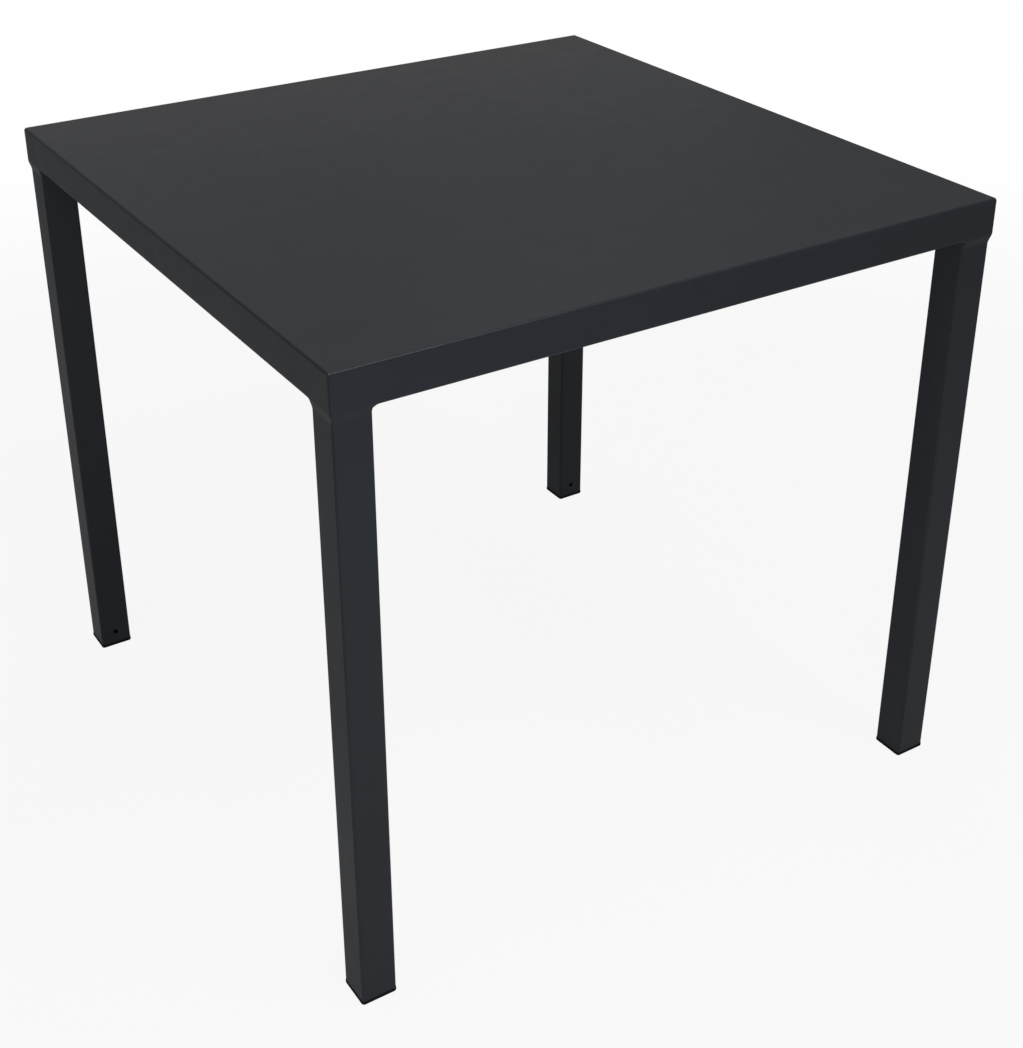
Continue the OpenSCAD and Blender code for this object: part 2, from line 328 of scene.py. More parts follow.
@built_once("node_groups", "soft_patches")
def patches_group(name):
    """Soft patches from 0 to 1, for faint differences of colour and gloss."""
    sockets = {
        "Coordinates": ("Vector", None),
        "Size": ("Float", 0.09),
        "Stretch": ("Vector", (1.0, 1.0, 1.0)),
        "Contrast": ("Float", 1.6),
    }
    tree, given, result = new_group(name, "ShaderNodeTree", sockets, {"Factor": ("Float", None)})
    factors = {0: given["Coordinates"], 1: given["Stretch"]}
    stretched = add_node(tree, "ShaderNodeVectorMath", factors, operation="MULTIPLY").outputs[0]
    clouds = noise_value(tree, stretched, given["Size"], detail=3.0, roughness=0.55)
    centred = calc(tree, "SUBTRACT", clouds, 0.5)
    spread = calc(tree, "MULTIPLY_ADD", centred, given["Contrast"], 0.5)
    clamped = add_node(tree, "ShaderNodeClamp", {"Value": spread})
    tree.links.new(clamped.outputs[0], result["Factor"])
    return tree


@built_once("node_groups", "settled_dust")
def dust_group(name):
    """Where faint dust lies: on faces that look up, in uneven patches."""
    sockets = {"Coordinates": ("Vector", None), "Amount": ("Float", 0.05)}
    tree, given, result = new_group(name, "ShaderNodeTree", sockets, {"Mask": ("Float", None)})
    looks = add_node(tree, "ShaderNodeNewGeometry").outputs["Normal"]
    up = add_node(tree, "ShaderNodeSeparateXYZ", {0: looks}).outputs["Z"]
    facing = map_range(tree, up, low=0.55, high=0.98, interpolation_type="SMOOTHSTEP")
    drift_size, least = 1 / 7, 0.3  # metres, and the share of the dust that the cleanest patches keep
    drifts = noise_value(tree, given["Coordinates"], drift_size, detail=5.0, roughness=0.62)
    uneven = map_range(tree, drifts, low=0.32, high=0.68)
    lying = calc(tree, "MULTIPLY", facing, calc(tree, "MULTIPLY_ADD", uneven, 1 - least, least))
    tree.links.new(calc(tree, "MULTIPLY", lying, given["Amount"]), result["Mask"])
    return tree


def mixed_colour(tree, factor, *colours):
    """Colour mixed by a factor from two others, each a socket or three numbers."""
    first, second = [value if isinstance(value, bpy.types.NodeSocket) else (*value, 1.0) for value in colours]
    inputs = {MIX_FACTOR: factor, MIX_FIRST: first, MIX_SECOND: second}
    return add_node(tree, "ShaderNodeMix", inputs, data_type="RGBA").outputs[MIX_COLOUR]


def new_material(name):
    """A material without its shader. Returns it, its tree and its Object coordinates."""
    material = bpy.data.materials.new(name)
    material.use_nodes = True
    tree = material.node_tree
    tree.nodes.clear()
    place = add_node(tree, "ShaderNodeTexCoord").outputs["Object"]
    return material, tree, place


def finish_surface(tree, colour_socket, roughness, normal, specular):
    """The surface shader of a painted or moulded piece."""
    inputs = {"Base Color": colour_socket, "Roughness": roughness, "Normal": normal, "Specular IOR Level": specular}
    shader = add_node(tree, "ShaderNodeBsdfPrincipled", inputs)
    add_node(tree, "ShaderNodeOutputMaterial", {"Surface": shader.outputs["BSDF"]})


@built_once("materials", "satin_powder_coat")
def powder_coat(name, finish):
    """Satin powder coat over steel."""
    material, tree, place = new_material(name)
    size, peel = finish.mottling_size, finish.peel_size
    tone = placed_group(tree, patches_group(), place, {"Size": size, "Stretch": (0.7, 1.6, 1.0), "Contrast": 2.0})
    gloss = placed_group(tree, patches_group(), place, {"Size": size / 3, "Stretch": (1.0, 1.0, 0.5), "Contrast": 1.4})
    dust = placed_group(tree, dust_group(), place, {"Amount": finish.dust_amount})
    depths = {"Depth": finish.peel_depth, "Ripple depth": finish.peel_depth}
    texture = placed_group(tree, surface_texture_group(), place, {"Cell size": peel, "Ripple size": 8 * peel, **depths})
    coat = mixed_colour(tree, tone, finish.coat_shade, finish.coat)
    dusted = mixed_colour(tree, dust, coat, finish.dust)
    roughness = varied(tree, gloss, finish.coat_roughness, spread=0.08)
    finish_surface(tree, dusted, roughness, texture, specular=0.3)
    return material


@built_once("materials", "moulded_polyethylene")
def foot_plastic(name, finish):
    """Matt black moulded polyethylene."""
    material, tree, place = new_material(name)
    flow = placed_group(tree, patches_group(), place, {"Size": 8 * MM, "Stretch": (1.0, 1.0, 2.0), "Contrast": 1.2})
    grain = {"Cell size": 0.5 * MM, "Depth": 0.03 * MM, "Ripple size": 6 * MM, "Ripple depth": 0.02 * MM}
    texture = placed_group(tree, surface_texture_group(), place, grain)
    paler = [channel * 1.35 for channel in finish.plastic]
    body = mixed_colour(tree, flow, finish.plastic, paler)
    roughness = varied(tree, flow, finish.plastic_roughness, spread=0.12)
    finish_surface(tree, body, roughness, texture, specular=0.2)
    return material


MATERIALS = {"powder_coat": powder_coat, "foot_plastic": foot_plastic}


# Mesh helpers ---------------------------------------------------------------------------------


def steps(first, last, count):
    """Evenly spaced values, both ends included."""
    return [first + (last - first) * index / count for index in range(count + 1)]


def eased(share_done):
    """Smooth step from 0 to 1."""
    share_done = min(1.0, max(0.0, share_done))
    return share_done * share_done * (3 - 2 * share_done)


def soft_square(half, radius, arc_steps=TUBE_STEPS):
    """Square outline with rounded corners round the origin, anticlockwise from the middle of its right."""
    core = half - radius
    points = []
    for quarter in range(4):
        turn = quarter * math.pi / 2
        centre = ((core, core), (-core, core), (-core, -core), (core, -core))[quarter]
        for angle in steps(turn, turn + math.pi / 2, arc_steps):
            points.append((centre[0] + radius * math.cos(angle), centre[1] + radius * math.sin(angle)))
    return points


def loft(shape, rings, cap_first=True, cap_last=True):
    """Joins rings of points with faces and closes both ends."""
    made = [[shape.verts.new(point) for point in ring] for ring in rings]
    for lower, upper in zip(made, made[1:]):
        for index in range(len(lower)):
            after = (index + 1) % len(lower)
            shape.faces.new((lower[index], lower[after], upper[after], upper[index]))
    if cap_first:
        shape.faces.new(reversed(made[0]))
    if cap_last:
        shape.faces.new(made[-1])
    return made


def into_mesh(shape, name, recalculate=True):
    """Turns a bmesh into a mesh, closed shells facing outwards."""
    if recalculate:
        bmesh.ops.recalc_face_normals(shape, faces=shape.faces)
    mesh = bpy.data.meshes.new(name)
    shape.to_mesh(mesh)
    shape.free()
    return mesh


def joined(name, meshes):
    """One mesh made of several."""
    shape = bmesh.new()
    for mesh in meshes:
        shape.from_mesh(mesh)
        bpy.data.meshes.remove(mesh)
    return into_mesh(shape, name)


def put_in_scene(name, data):
    """A new object in the scene."""
    obj = bpy.data.objects.new(name, data)
    bpy.context.scene.collection.objects.link(obj)
    return obj


def applied(obj, name):
    """Gives the object its mesh as its modifiers leave it, and removes them."""
    graph = bpy.context.evaluated_depsgraph_get()
    result = bpy.data.meshes.new_from_object(obj.evaluated_get(graph), depsgraph=graph)
    obj.modifiers.clear()
    source, obj.data = obj.data, result
    bpy.data.meshes.remove(source)
    result.name = name


def grown(name, mesh, tree, wanted):
    """The mesh that a geometry node tree makes of another, with its inputs set by name."""
    obj = put_in_scene(name, mesh)
    modifier = obj.modifiers.new(name, "NODES")
    modifier.node_group = tree
    for socket in tree.interface.items_tree:
        if socket.item_type == "SOCKET" and socket.in_out == "INPUT" and socket.name in wanted:
            modifier[socket.identifier] = wanted[socket.name]
    applied(obj, name)
    result = obj.data
    bpy.data.objects.remove(obj)
    if not result.polygons:
        raise RuntimeError(f"the geometry nodes made no {name}")
    return result


def add_piece(name, mesh, slot, nodes, thickness=0.0, edge=0.0, sharp=math.radians(50)):
    """Puts a mesh in the scene as a piece of the table, in place of its CAD nodes."""
    obj = put_in_scene(name, mesh)
    if thickness:
        wall = obj.modifiers.new("Sheet", "SOLIDIFY")
        wall.thickness = thickness
        wall.offset = -1.0
        wall.use_even_offset = True
    if edge:
        rounding = obj.modifiers.new("Coated edges", "BEVEL")
        rounding.width = edge
        rounding.segments = 2
        rounding.limit_method = "ANGLE"
        rounding.angle_limit = sharp
        rounding.use_clamp_overlap = True
    if obj.modifiers:
        applied(obj, name)
    obj.data.shade_smooth()
    obj.data.set_sharp_from_angle(angle=sharp)
    weighted = obj.modifiers.new("Even shading", "WEIGHTED_NORMAL")
    weighted.keep_sharp = True
    weighted.weight = 90
    applied(obj, name)
    obj.data.materials.clear()
    obj.data.materials.append(MATERIALS[slot](bpy.context.scene.garden_table.finish))
    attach(obj, "root")
    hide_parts(*nodes)
    return obj


def from_corner(settings, corner, u, v, z):
    """Point given by its distances in from the tray's outer faces at a corner."""
    side_x, side_y = CORNERS[corner]
    return (side_x * (settings.tray.width / 2 - u), side_y * (settings.tray.depth / 2 - v), z)


def leg_middle(settings, corner):
    """The middle of a leg in plan."""
    middle = settings.leg.inset + settings.leg.side / 2
    return from_corner(settings, corner, middle, middle, 0)[:2]


# Top ------------------------------------------------------------------------------------------


def folded_rows(tray):
    """Section of the folded edge from the flat top to the lip's end, as (distance in, distance down).

    Also gives the row where the lower bend is cut back for the legs.
    """
    bend, foot = tray.bend, tray.skirt - tray.bend
    rows = [(bend - bend * math.sin(turn), bend - bend * math.cos(turn)) for turn in steps(0, math.pi / 2, BEND_STEPS)]
    rows += [(0.0, drop) for drop in (bend + LOOP, *steps(tray.skirt / 3, tray.skirt * 2 / 3, 2), foot - LOOP, foot)]
    cut_angle = math.acos((bend - tray.cut_back) / bend)
    rows += [(bend - bend * math.cos(turn), foot + bend * math.sin(turn)) for turn in steps(0, cut_angle, 5)[1:]]
    cut_row = len(rows) - 1
    rows += [(inset, tray.skirt) for inset in (bend, bend + LOOP, (bend + tray.lip) / 2, tray.lip)]
    return rows, cut_row


def side_line(span, bend, leg_end, step):
    """Places along one side of the top, close together where the lips end and the bends start."""
    reach, lip_reach = span / 2 - bend, span / 2 - leg_end
    middle = steps(-lip_reach, lip_reach, max(4, round(2 * lip_reach / step)))
    outer = steps(lip_reach, reach - LOOP, 3)[1:] + [reach]
    return [-place for place in reversed(outer)] + middle + outer


def sheet_dip(tray, rib, x, y):
    """How far the flat sheet dips at a place: nothing at its edges and over its ribs."""
    rib_x = rib.spacing / 2
    if abs(x) < rib_x:
        across = math.cos(x / rib_x * math.pi / 2)
    else:
        across = math.sin((abs(x) - rib_x) / (tray.width / 2 - rib_x) * math.pi)
    along = max(0.0, math.cos(y / tray.depth * math.pi))
    waves_x, waves_y, slice_z = 5, 4, 3.7
    uneven = noise.noise(Vector((x * waves_x, y * waves_y, slice_z)))
    return tray.bow * max(0.0, across) * math.sqrt(along) * (0.6 + 0.7 * uneven)


def blunted(point, depth):
    """Grinds a point of the corner ball back towards a small flat across the corner."""
    across = Vector((0.5, -0.5, math.sqrt(0.5)))
    ground_from = 0.72  # cosine of the angle to the corner's middle where grinding starts
    ground = max(0.0, point.normalized().dot(across) - ground_from) / (1 - ground_from)
    return point - across * depth * ground**2


def seam_point(tray, inset, drop, angle, quarter):
    """Point of a ground corner seam, from the middle of the corner ball, at an angle round the corner."""
    waves_down, waves_round, slices_apart, fade = 160, 1.5, 7.1, 10 * MM
    uneven = noise.noise(Vector((drop * waves_down, angle * waves_round, quarter * slices_apart)))
    fading = min(1.0, max(0.0, (tray.skirt - tray.bend - drop) / fade))
    ground = tray.dressing * (0.5 + 0.5 * uneven) * math.sin(2 * angle) * fading
    reach = tray.bend - inset - ground
    return blunted(Vector((reach * math.sin(angle), -reach * math.cos(angle), tray.bend - drop)), tray.blunt)


def turned(x, y, z, quarter):
    """A place turned about Z by quarter turns."""
    for _ in range(quarter):
        x, y = -y, x
    return (x, y, z)


def top_mesh(settings):
    """Outer skin of the folded top with its skirts, ground corners and lips."""
    tray, leg = settings.tray, settings.leg
    rows, cut_row = folded_rows(tray)
    leg_end = leg.inset + leg.side + tray.lip_gap
    line_x = side_line(tray.width, tray.bend, leg_end, tray.mesh_step)
    line_y = side_line(tray.depth, tray.bend, leg_end, tray.mesh_step)
    shape = bmesh.new()
    flat = [[shape.verts.new((x, y, tray.height)) for y in line_y] for x in line_x]
    for strip, after in zip(flat, flat[1:]):
        for index in range(len(line_y) - 1):
            shape.faces.new((strip[index], after[index], after[index + 1], strip[index + 1]))
    borders = [
        [strip[0] for strip in flat],
        list(flat[-1]),
        [strip[-1] for strip in reversed(flat)],
        list(reversed(flat[0])),
    ]
    columns = []
    for quarter, border in enumerate(borders):
        line, across = (line_x, tray.depth / 2) if quarter % 2 == 0 else (line_y, tray.width / 2)
        lip_reach = -line[0] - (leg_end - tray.bend)
        for place, start in zip(line, border):
            has_lip = abs(place) <= lip_reach + 0.01 * MM
            column = [start]
            for inset, drop in rows[1:] if has_lip else rows[1 : cut_row + 1]:
                column.append(shape.verts.new(turned(place, inset - across, tray.height - drop, quarter)))
            columns.append(column)
        end, axis_y = line[-1], tray.bend - across
        for angle in steps(0, math.pi / 2, BEND_STEPS)[1:-1]:
            column = [border[-1]]
            for inset, drop in rows[1 : cut_row + 1]:
                ball = seam_point(tray, inset, drop, angle, quarter)
                x, y, z = end + ball.x, axis_y + ball.y, tray.height - tray.bend + ball.z
                column.append(shape.verts.new(turned(x, y, z, quarter)))
            columns.append(column)
    for column, after in zip(columns, columns[1:] + columns[:1]):
        for row in range(min(len(column), len(after)) - 1):
            corners = [column[row], column[row + 1], after[row + 1], after[row]]
            shape.faces.new(list(dict.fromkeys(corners)))
    for strip in flat[1:-1]:
        for vertex in strip[1:-1]:
            vertex.co.z -= sheet_dip(tray, settings.rib, vertex.co.x, vertex.co.y)
    return into_mesh(shape, "tabletop", recalculate=False)


class TABLE_OT_top(bpy.types.Operator):
    """Build the folded sheet top with its ground corner seams"""

    bl_idname = "garden_table.top"
    bl_label = "Folded top"

    def execute(self, context):
        settings = context.scene.garden_table
        nodes = ["tabletop_tray"] + [f"corner_seam_{corner}" for corner in CORNERS]
        add_piece("tabletop", top_mesh(settings), "powder_coat", nodes, settings.tray.sheet, edge=0.3 * MM)
        return {"FINISHED"}


# Legs -----------------------------------------------------------------------------------------


def leg_mesh(settings, corner):
    """Outer skin of one square tube leg, with a round drain hole in the face that looks into the table."""
    leg = settings.leg
    half, arc = leg.side / 2, TUBE_STEPS + 1
    edge = half - leg.radius - LOOP
    cells, first_row = 6, 2  # the window of mesh round the hole, across and up, and the row where it starts
    window = steps(-leg.drain_diameter, leg.drain_diameter, cells)
    faces = [
        [(edge, half)] + [(-place, half) for place in window] + [(-edge, half)],
        [(-half, edge), (-half, -edge)],
        [(-edge, -half), (edge, -half)],
        [(half, -edge), (half, edge)],
    ]
    corners, outline = soft_square(half, leg.radius, TUBE_STEPS), []
    for quarter, face in enumerate(faces):
        outline += corners[quarter * arc : (quarter + 1) * arc] + face
    hole_start = arc + 1
    side_y = -CORNERS[corner][1]
    middle_x, middle_y = leg_middle(settings, corner)
    window_rows, upper_rows = [leg.drain_height + place for place in window], (0.12, 0.3, 0.5)
    heights = [LEG_LOW.z, LEG_LOW.z + LOOP, *window_rows, *upper_rows, LEG_HIGH.z - LOOP, LEG_HIGH.z]
    shape = bmesh.new()
    grid = [
        [shape.verts.new((middle_x + x, middle_y + side_y * y, height)) for x, y in outline] for height in heights
    ]
    count = len(outline)
    for row in range(len(heights) - 1):
        for index in range(count):
            if first_row <= row < first_row + cells and hole_start <= index < hole_start + cells:
                continue
            after = (index + 1) % count
            shape.faces.new((grid[row][index], grid[row][after], grid[row + 1][after], grid[row + 1][index]))
    last_row, hole_end = first_row + cells, hole_start + cells
    rim = [grid[first_row][hole_start + index] for index in range(cells)]
    rim += [grid[first_row + index][hole_end] for index in range(cells)]
    rim += [grid[last_row][hole_end - index] for index in range(cells)]
    rim += [grid[last_row - index][hole_start] for index in range(cells)]
    circle = []
    for vertex in rim:
        out = Vector((vertex.co.x - middle_x, vertex.co.z - leg.drain_height)).normalized() * leg.drain_diameter / 2
        circle.append(shape.verts.new((middle_x + out.x, vertex.co.y, leg.drain_height + out.y)))
    for index in range(len(rim)):
        after = (index + 1) % len(rim)
        shape.faces.new((rim[index], rim[after], circle[after], circle[index]))
    if side_y < 0:
        bmesh.ops.reverse_faces(shape, faces=shape.faces)
    return into_mesh(shape, f"leg_{corner}", recalculate=False)


class TABLE_OT_legs(bpy.types.Operator):
    """Build the four square tube legs"""

    bl_idname = "garden_table.legs"
    bl_label = "Legs"

    def execute(self, context):
        settings = context.scene.garden_table
        for corner in CORNERS:
            mesh = leg_mesh(settings, corner)
            add_piece(f"tube_leg_{corner}", mesh, "powder_coat", [f"leg_{corner}"], settings.leg.wall, edge=0.25 * MM)
        return {"FINISHED"}


# Welds ----------------------------------------------------------------------------------------


@built_once("node_groups", "weld_bead")
def weld_bead_tree(name):
    """Geometry nodes that lay a rippled bead along each line of a mesh."""
    sockets = {
        "Geometry": ("Geometry", None),
        "Radius": ("Float", 0.0014),
        "Ripple": ("Float", 0.0013),
        "Ripple depth": ("Float", 0.16),
        "Taper": ("Float", 0.0025),
        "Swell": ("Float", 0.3),
        "Swell scale": ("Float", 260.0),
        "Seed": ("Int", 1),
        "Material": ("Material", None),
    }
    tree, given, result = new_group(name, "GeometryNodeTree", sockets, {"Geometry": ("Geometry", None)})
    line = add_node(tree, "GeometryNodeMeshToCurve", {"Mesh": given["Geometry"]})
    steps_per_ripple, bead_sides, blunt_end, ripple_bend = 5.0, 12, 0.06, 0.6
    step = calc(tree, "DIVIDE", given["Ripple"], steps_per_ripple)
    even = add_node(tree, "GeometryNodeResampleCurve", {"Curve": line.outputs[0], "Length": step}, mode="LENGTH")
    along = add_node(tree, "GeometryNodeSplineParameter").outputs["Length"]
    total = add_node(tree, "GeometryNodeSplineLength").outputs["Length"]
    phase = calc(tree, "FRACT", calc(tree, "DIVIDE", along, given["Ripple"]))
    wave = calc(tree, "POWER", phase, ripple_bend)
    dip = calc(tree, "MULTIPLY", calc(tree, "SUBTRACT", wave, 1.0), given["Ripple depth"])
    to_end = calc(tree, "MINIMUM", along, calc(tree, "SUBTRACT", total, along))
    from_end = calc(tree, "DIVIDE", to_end, given["Taper"])
    rounded = calc(tree, "SQRT", calc(tree, "MINIMUM", calc(tree, "ADD", from_end, blunt_end), 1.0))
    drift = {"W": given["Seed"], "Scale": given["Swell scale"], "Detail": 1.0}
    wander = add_node(tree, "ShaderNodeTexNoise", drift, noise_dimensions="4D").outputs["Fac"]
    least = calc(tree, "MULTIPLY_ADD", given["Swell"], -0.5, 1.0)
    swell = calc(tree, "MULTIPLY_ADD", wander, given["Swell"], least)
    size = calc(tree, "MULTIPLY", calc(tree, "MULTIPLY", calc(tree, "ADD", dip, 1.0), rounded), swell)
    ring = add_node(tree, "GeometryNodeCurvePrimitiveCircle", {"Resolution": bead_sides, "Radius": given["Radius"]})
    bead = {"Curve": even.outputs[0], "Scale": size, "Profile Curve": ring.outputs[0], "Fill Caps": True}
    end_tree(tree, add_node(tree, "GeometryNodeCurveToMesh", bead), given, result)
    return tree


def beads(name, paths, radius, settings, seed):
    """Mesh of weld beads laid along paths by geometry nodes."""
    edges, start = [], 0
    for path in paths:
        edges += [(start + index, start + index + 1) for index in range(len(path) - 1)]
        start += len(path)
    lines = bpy.data.meshes.new(name)
    lines.from_pydata([point for path in paths for point in path], edges, [])
    wanted = {"Radius": radius, "Ripple": settings.weld.ripple, "Taper": 2 * radius, "Seed": seed}
    return grown(name, lines, weld_bead_tree(), {**wanted, "Material": powder_coat(settings.finish)})


def head_weld_path(settings, corner):
    """Line round the two inner faces of a leg, under the top."""
    tray, leg, bead = settings.tray, settings.leg, settings.weld.head
    out, down = 0.45 * bead, 0.55 * bead  # the bead sinks a little into the leg and the top
    end, core = leg.inset + leg.side + out, leg.inset + leg.radius
    turn, radius = leg.inset + leg.side - leg.radius, leg.radius + out
    arc = [(turn + radius * math.cos(angle), turn + radius * math.sin(angle)) for angle in steps(0, math.pi / 2, 6)]
    points = [(end, core), *arc, (core, end)]
    return [from_corner(settings, corner, u, v, tray.height - tray.sheet - down) for u, v in points]


def skirt_weld_mesh(settings, corner):
    """Ground weld round a leg at the foot of the skirt, running out in a hollow fillet under each lip."""
    tray, leg, weld = settings.tray, settings.leg, settings.weld
    foot_z, leg_end, bend = tray.height - tray.skirt, leg.inset + leg.side, tray.bend
    rows, waves, inner_wall = 14, 90, 0.9 * MM
    step_back = leg_end - 0.5 * MM  # where the weld's back steps from the leg's wall to behind the lip
    out_end = leg_end + weld.lip + weld.run_out
    corner_start = leg.inset + leg.radius + 0.3 * MM

    def leg_face(place):
        """How far in the leg's face lies, also where it turns round the tube's corner."""
        past = min(leg.radius, max(0.0, place - leg_end + leg.radius))
        return leg.inset + leg.radius - math.sqrt(leg.radius**2 - past**2)

    def bottom(place):
        """Height of the weld's lower edge over the skirt's foot."""
        if place <= leg_end:
            return -weld.skirt - (weld.lip - weld.skirt) * max(0.0, 1 - (leg_end - place) / leg.radius) ** 2
        across = max(0.0, leg_end + weld.lip - place)
        return min(-0.01 * MM, -weld.lip + math.sqrt(weld.lip**2 - min(across, weld.lip) ** 2))

    def ring(place, spot):
        """One section of the weld; spot turns a distance in from the outer face into a place in plan."""
        low = bottom(place)
        reach = bend - (low if place <= leg_end else -weld.lip)
        fade = eased((place - leg_end) / (out_end - leg_end))
        points = []
        for index, height in enumerate(steps(low, bend, rows)):
            blended = leg_face(place) * eased((bend - height) / reach)
            uneven = noise.noise(Vector((*spot(blended), height)) * waves)
            crown = weld.crown * math.sin(math.pi * index / rows) * (0.7 + 0.6 * uneven)
            drop = min(bend, max(0.0, bend - height))
            bent = bend - math.sqrt(max(0.0, bend**2 - drop**2))
            points.append(((1 - fade) * max(0.0, blended - crown) + fade * bent, height))
        wide = place > step_back
        back = tray.lip if wide else leg_face(place) + inner_wall
        high = tray.sheet / 2 if wide else bend
        points += [(min(back, bend), high), (back, high), (back, low), ((back + points[0][0]) / 2, low)]
        return [(*spot(inset), height) for inset, height in points]

    rings = []
    places = [out_end, out_end - weld.run_out / 2]
    places += [leg_end + weld.lip * (1 - math.cos(angle)) for angle in steps(math.pi / 2, 0, BEND_STEPS)]
    places += [leg_end - 0.2 * MM, step_back + 0.01 * MM, step_back - 0.01 * MM]
    places += [leg_end - leg.radius * (1 - math.sin(angle)) for angle in steps(math.pi / 4, 0, 4)]
    places += steps(leg_end - leg.radius, corner_start, 12)[1:]
    for place in places:
        rings.append(ring(place, lambda inset: (place, inset)))
    for angle in steps(0, math.pi / 2, BEND_STEPS):
        along, across = leg.radius * (1 - math.sin(angle)), leg.radius * (1 - math.cos(angle))
        rings.append(ring(corner_start, lambda inset: (inset + along, inset + across)))
    for place in reversed(places):
        rings.append(ring(place, lambda inset: (inset, place)))
    shape = bmesh.new()
    loft(shape, [[from_corner(settings, corner, u, v, foot_z + z) for u, v, z in ring] for ring in rings])
    return into_mesh(shape, f"skirt_weld_{corner}")


class TABLE_OT_leg_welds(bpy.types.Operator):
    """Lay the welds that hold the legs to the skirt and under the top"""

    bl_idname = "garden_table.leg_welds"
    bl_label = "Leg welds"

    def execute(self, context):
        settings = context.scene.garden_table
        for seed, corner in enumerate(CORNERS):
            head = beads("head_weld", [head_weld_path(settings, corner)], settings.weld.head, settings, seed)
            mesh = joined(f"weld_{corner}", [skirt_weld_mesh(settings, corner), head])
            add_piece(f"leg_weld_bead_{corner}", mesh, "powder_coat", [f"leg_weld_{corner}"])
        return {"FINISHED"}


class TABLE_OT_stitch_welds(bpy.types.Operator):
    """Lay the stitch welds along the ribs and under the gussets"""

    bl_idname = "garden_table.stitch_welds"
    bl_label = "Stitch welds"

    def execute(self, context):
        settings = context.scene.garden_table
        tray, rib, weld = settings.tray, settings.rib, settings.weld
        under, run = tray.height - tray.sheet - 0.45 * weld.stitch, weld.stitch_length - 2 * weld.stitch
        rib_paths = []
        for side in (-1, 1):
            for edge in (-1, 1):
                x = side * rib.spacing / 2 + edge * rib.width / 2
                for stitch in range(weld.stitches):
                    y = rib.length * ((stitch + 0.5) / weld.stitches - 0.5)
                    rib_paths.append([(x, y - run / 2, under), (x, y + run / 2, under)])
        mesh = beads("rib_stitches", rib_paths, weld.stitch, settings, RIB_STITCH_SEED)
        add_piece("rib_stitch_beads", mesh, "powder_coat", ["rib_stitch_welds"])
        middle = (settings.leg.inset + settings.leg.side + GUSSET_HIGH.x - TRAY_LOW.x) / 2
        under = tray.height - tray.skirt + tray.sheet
        gusset_paths = []
        for corner in CORNERS:
            ends = (middle - run / 2, middle + run / 2)
            gusset_paths.append([from_corner(settings, corner, tray.lip, place, under) for place in ends])
            gusset_paths.append([from_corner(settings, corner, place, tray.lip, under) for place in ends])
        mesh = beads("gusset_stitches", gusset_paths, weld.stitch, settings, GUSSET_STITCH_SEED)
        add_piece("gusset_stitch_beads", mesh, "powder_coat", ["gusset_stitch_welds"])
        return {"FINISHED"}


# Ribs and gussets -----------------------------------------------------------------------------


@built_once("node_groups", "folded_ribs")
def rib_tree(name):
    """Geometry nodes that run a section along Y and repeat it across the table."""
    sockets = {
        "Geometry": ("Geometry", None),
        "Length": ("Float", 0.79),
        "Spacing": ("Float", 0.27),
        "Count": ("Int", 2),
        "Material": ("Material", None),
    }
    tree, given, result = new_group(name, "GeometryNodeTree", sockets, {"Geometry": ("Geometry", None)})
    reach = add_node(tree, "ShaderNodeCombineXYZ", {"Y": given["Length"]}).outputs[0]
    pull = {"Mesh": given["Geometry"], "Offset": reach, "Individual": False}
    run = add_node(tree, "GeometryNodeExtrudeMesh", pull, mode="FACES")
    start = add_node(tree, "GeometryNodeFlipFaces", {"Mesh": given["Geometry"]})
    both = add_node(tree, "GeometryNodeJoinGeometry")
    tree.links.new(start.outputs[0], both.inputs[0])
    tree.links.new(run.outputs["Mesh"], both.inputs[0])
    closed = add_node(tree, "GeometryNodeMergeByDistance", {"Geometry": both.outputs[0], "Distance": 0.01 * MM})
    span = calc(tree, "MULTIPLY", given["Spacing"], calc(tree, "SUBTRACT", given["Count"], 1.0))
    first = add_node(tree, "ShaderNodeCombineXYZ", {"X": calc(tree, "MULTIPLY", span, -0.5)}).outputs[0]
    step = add_node(tree, "ShaderNodeCombineXYZ", {"X": given["Spacing"]}).outputs[0]
    line = {"Count": given["Count"], "Start Location": first, "Offset": step}
    places = add_node(tree, "GeometryNodeMeshLine", line, mode="OFFSET").outputs[0]
    copies = {"Points": places, "Instance": closed.outputs[0]}
    end_tree(tree, add_node(tree, "GeometryNodeInstanceOnPoints", copies), given, result)
    return tree


def hat_outline(rib):
    """Closed outline of the hat section from its crown, hanging from height 0, as (x, z)."""
    web, flange, bend, sheet = rib.crown / 2, rib.width / 2, rib.bend, rib.sheet
    inner = bend - sheet
    low = -rib.height
    outer_side, inner_side = [], []
    for angle in steps(-math.pi / 2, 0, 6):
        c, s = math.cos(angle), math.sin(angle)
        outer_side.append((web - bend + bend * c, low + bend + bend * s))
        inner_side.append((web - bend + inner * c, low + bend + inner * s))
    for angle in steps(math.pi, math.pi / 2, 6):
        c, s = math.cos(angle), math.sin(angle)
        outer_side.append((web - sheet + bend + inner * c, -bend + inner * s))
        inner_side.append((web - sheet + bend + bend * c, -bend + bend * s))
    outer_side += [(flange, -sheet)]
    inner_side += [(flange, 0.0)]
    right = outer_side + list(reversed(inner_side))
    return right + [(-x, z) for x, z in reversed(right)]


